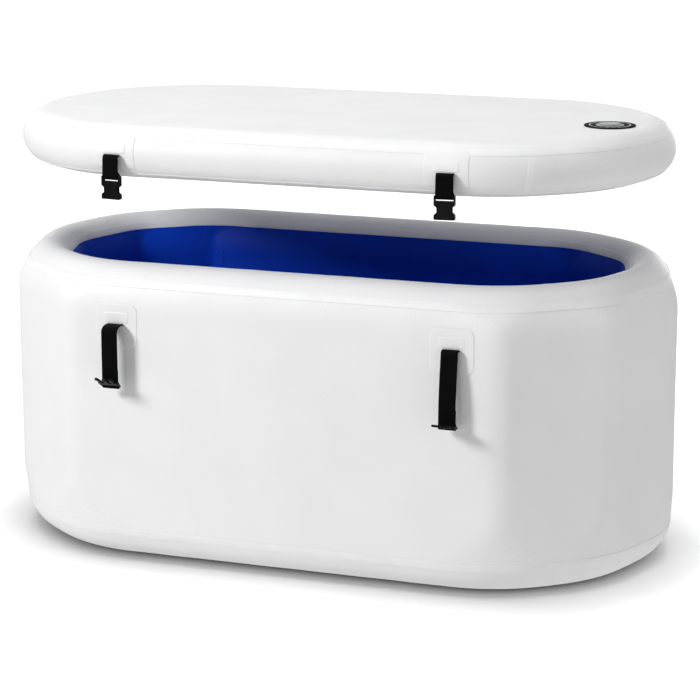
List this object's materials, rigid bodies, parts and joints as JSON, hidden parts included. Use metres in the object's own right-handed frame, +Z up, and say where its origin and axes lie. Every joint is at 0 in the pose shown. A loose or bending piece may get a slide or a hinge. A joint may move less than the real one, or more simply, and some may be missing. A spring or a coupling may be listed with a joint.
{
  "type": "cold plunge tub",
  "caption": "Inflatable cold plunge tub: oval white drop-stitch tub with blue liner, lifted inflatable lid with valve, webbing straps and side-release buckles, drain at the rear.",
  "frame": {"origin": "centre of the base on the ground, under the middle of the whole object", "axes": "+X along the tub towards the end with the lid valve, +Y towards the rear wall, +Z up; the front of the picture is -Y"},
  "size_m": [1.5488, 0.9934, 0.9808],
  "materials": {
    "shell_white": "matt coated fabric with a fine diagonal weave",
    "lid_white": "matt coated fabric with a fine weave",
    "tape_white": "satin welded tape",
    "patch_white": "satin welded patch",
    "liner_blue": "satin coated fabric",
    "drop_stitch_thread": "raw polyester thread",
    "webbing_black": "ribbed woven webbing",
    "buckle_black": "fine spark texture",
    "fitting_black": "satin moulded plastic",
    "pad_black": "matt moulded pad",
    "valve_grey": "satin moulded plastic",
    "gasket_rubber": "matt rubber",
    "spring_steel": "drawn wire"
  },
  "bodies": {
    "tub": {"base_sheet": "shell_white", "bottom_rail": "shell_white", "wall_outer_skin": "shell_white", "top_rail_rear": "shell_white", "top_rail_front": "shell_white", "liner_rear": "liner_blue", "liner_left": "liner_blue", "liner_front": "liner_blue", "liner_right": "liner_blue", "floor_liner": "liner_blue", "seam_tape_top": "tape_white", "seam_tape_inner": "tape_white", "seam_tape_bottom": "tape_white", "floor_corner_tape": "liner_blue", "wall_threads": "drop_stitch_thread", "floor_threads": "drop_stitch_thread", "tub_patch_front_left": "patch_white", "tub_patch_front_right": "patch_white", "tub_patch_rear_left": "patch_white", "tub_patch_rear_right": "patch_white", "wall_valve_pad": "pad_black", "wall_valve_body": "fitting_black", "wall_valve_spring": "spring_steel", "wall_valve_nut": "fitting_black", "drain_body": "fitting_black", "drain_gasket": "gasket_rubber", "drain_nut": "fitting_black"},
    "lid": {"lid_top_skin": "lid_white", "lid_side_band": "shell_white", "lid_bottom_skin": "shell_white", "lid_threads": "drop_stitch_thread", "lid_patch_front_left": "patch_white", "lid_patch_front_right": "patch_white", "lid_patch_rear_left": "patch_white", "lid_patch_rear_right": "patch_white", "lid_valve_pad": "pad_black", "lid_valve_body": "fitting_black", "lid_valve_spring": "spring_steel", "lid_valve_nut": "fitting_black"},
    "tub_strap_front_left": {"tub_strap_front_left": "webbing_black"},
    "buckle_male_front_left": {"buckle_male_front_left": "buckle_black"},
    "tub_strap_front_right": {"tub_strap_front_right": "webbing_black"},
    "buckle_male_front_right": {"buckle_male_front_right": "buckle_black"},
    "tub_strap_rear_left": {"tub_strap_rear_left": "webbing_black"},
    "buckle_male_rear_left": {"buckle_male_rear_left": "buckle_black"},
    "tub_strap_rear_right": {"tub_strap_rear_right": "webbing_black"},
    "buckle_male_rear_right": {"buckle_male_rear_right": "buckle_black"},
    "lid_strap_front_left": {"lid_strap_front_left": "webbing_black"},
    "buckle_female_front_left": {"buckle_female_front_left": "buckle_black"},
    "lid_strap_front_right": {"lid_strap_front_right": "webbing_black"},
    "buckle_female_front_right": {"buckle_female_front_right": "buckle_black"},
    "lid_strap_rear_left": {"lid_strap_rear_left": "webbing_black"},
    "buckle_female_rear_left": {"buckle_female_rear_left": "buckle_black"},
    "lid_strap_rear_right": {"lid_strap_rear_right": "webbing_black"},
    "buckle_female_rear_right": {"buckle_female_rear_right": "buckle_black"},
    "lid_valve_cap": {"lid_valve_cap": "valve_grey"},
    "lid_valve_plunger": {"lid_valve_plunger": "valve_grey"},
    "wall_valve_cap": {"wall_valve_cap": "valve_grey"},
    "wall_valve_plunger": {"wall_valve_plunger": "valve_grey"},
    "drain_cap": {"drain_cap": "fitting_black"}
  },
  "joints": [
    {"name": "lid_lift", "type": "slide", "parent": "tub", "child": "lid", "axis": [0, 0, 1], "range_m": [-0.189, 0.111]},
    {"name": "tub_strap_swing_front_left", "type": "hinge", "parent": "tub", "child": "tub_strap_front_left", "pos_m": [-0.376, -0.4228, 0.5417], "axis": [-1, 0, 0], "range_deg": [0, 65]},
    {"name": "male_buckle_swing_front_left", "type": "hinge", "parent": "tub_strap_front_left", "child": "buckle_male_front_left", "pos_m": [-0.376, -0.45182, 0.40933], "axis": [-1, 0, 0], "range_deg": [-120, 8]},
    {"name": "tub_strap_swing_front_right", "type": "hinge", "parent": "tub", "child": "tub_strap_front_right", "pos_m": [0.396, -0.4228, 0.5437], "axis": [-1, 0, 0], "range_deg": [0, 65]},
    {"name": "male_buckle_swing_front_right", "type": "hinge", "parent": "tub_strap_front_right", "child": "buckle_male_front_right", "pos_m": [0.396, -0.44485, 0.38227], "axis": [-1, 0, 0], "range_deg": [-106, 22]},
    {"name": "tub_strap_swing_rear_left", "type": "hinge", "parent": "tub", "child": "tub_strap_rear_left", "pos_m": [-0.396, 0.4228, 0.5437], "axis": [1, 0, 0], "range_deg": [0, 65]},
    {"name": "male_buckle_swing_rear_left", "type": "hinge", "parent": "tub_strap_rear_left", "child": "buckle_male_rear_left", "pos_m": [-0.396, 0.44485, 0.38227], "axis": [1, 0, 0], "range_deg": [-106, 22]},
    {"name": "tub_strap_swing_rear_right", "type": "hinge", "parent": "tub", "child": "tub_strap_rear_right", "pos_m": [0.376, 0.4228, 0.5417], "axis": [1, 0, 0], "range_deg": [0, 65]},
    {"name": "male_buckle_swing_rear_right", "type": "hinge", "parent": "tub_strap_rear_right", "child": "buckle_male_rear_right", "pos_m": [0.376, 0.45182, 0.40933], "axis": [1, 0, 0], "range_deg": [-120, 8]},
    {"name": "lid_strap_swing_front_left", "type": "hinge", "parent": "lid", "child": "lid_strap_front_left", "pos_m": [-0.38043, -0.41323, 0.9135], "axis": [-0.9936, 0.1129, 0], "range_deg": [0, 70]},
    {"name": "female_buckle_swing_front_left", "type": "hinge", "parent": "lid_strap_front_left", "child": "buckle_female_front_left", "pos_m": [-0.38088, -0.41723, 0.86677], "axis": [-0.9936, 0.1129, 0], "range_deg": [0, 80]},
    {"name": "lid_strap_swing_front_right", "type": "hinge", "parent": "lid", "child": "lid_strap_front_right", "pos_m": [0.37743, -0.41357, 0.9135], "axis": [-0.9936, -0.1129, 0], "range_deg": [0, 70]},
    {"name": "female_buckle_swing_front_right", "type": "hinge", "parent": "lid_strap_front_right", "child": "buckle_female_front_right", "pos_m": [0.37788, -0.41757, 0.86677], "axis": [-0.9936, -0.1129, 0], "range_deg": [0, 80]},
    {"name": "lid_strap_swing_rear_left", "type": "hinge", "parent": "lid", "child": "lid_strap_rear_left", "pos_m": [-0.37743, 0.41357, 0.9135], "axis": [0.9936, 0.1129, 0], "range_deg": [0, 70]},
    {"name": "female_buckle_swing_rear_left", "type": "hinge", "parent": "lid_strap_rear_left", "child": "buckle_female_rear_left", "pos_m": [-0.37788, 0.41757, 0.86677], "axis": [0.9936, 0.1129, 0], "range_deg": [0, 80]},
    {"name": "lid_strap_swing_rear_right", "type": "hinge", "parent": "lid", "child": "lid_strap_rear_right", "pos_m": [0.38043, 0.41323, 0.9135], "axis": [0.9936, -0.1129, 0], "range_deg": [0, 70]},
    {"name": "female_buckle_swing_rear_right", "type": "hinge", "parent": "lid_strap_rear_right", "child": "buckle_female_rear_right", "pos_m": [0.38088, 0.41723, 0.86677], "axis": [0.9936, -0.1129, 0], "range_deg": [0, 80]},
    {"name": "lid_valve_cap_turn", "type": "hinge", "parent": "lid", "child": "lid_valve_cap", "pos_m": [0.624, -0.03, 0.9733], "axis": [0, 0, 1], "range_deg": [0, 90]},
    {"name": "lid_valve_plunger_press", "type": "slide", "parent": "lid", "child": "lid_valve_plunger", "axis": [0, 0, -1], "range_m": [0, 0.004], "stiffness_N_per_m": 300, "springref_m": -0.002, "deforming": ["lid_valve_spring"]},
    {"name": "wall_valve_cap_turn", "type": "hinge", "parent": "tub", "child": "wall_valve_cap", "pos_m": [0.19, 0.419, 0.419], "axis": [0, 1, 0], "range_deg": [0, 90]},
    {"name": "wall_valve_plunger_press", "type": "slide", "parent": "tub", "child": "wall_valve_plunger", "axis": [0, -1, 0], "range_m": [0, 0.004], "stiffness_N_per_m": 300, "springref_m": -0.002, "deforming": ["wall_valve_spring"]},
    {"name": "drain_cap_turn", "type": "hinge", "parent": "tub", "child": "drain_cap", "pos_m": [-0.19, 0.419, 0.1345], "axis": [0, 1, 0], "range_deg": [0, 180]}
  ]
}
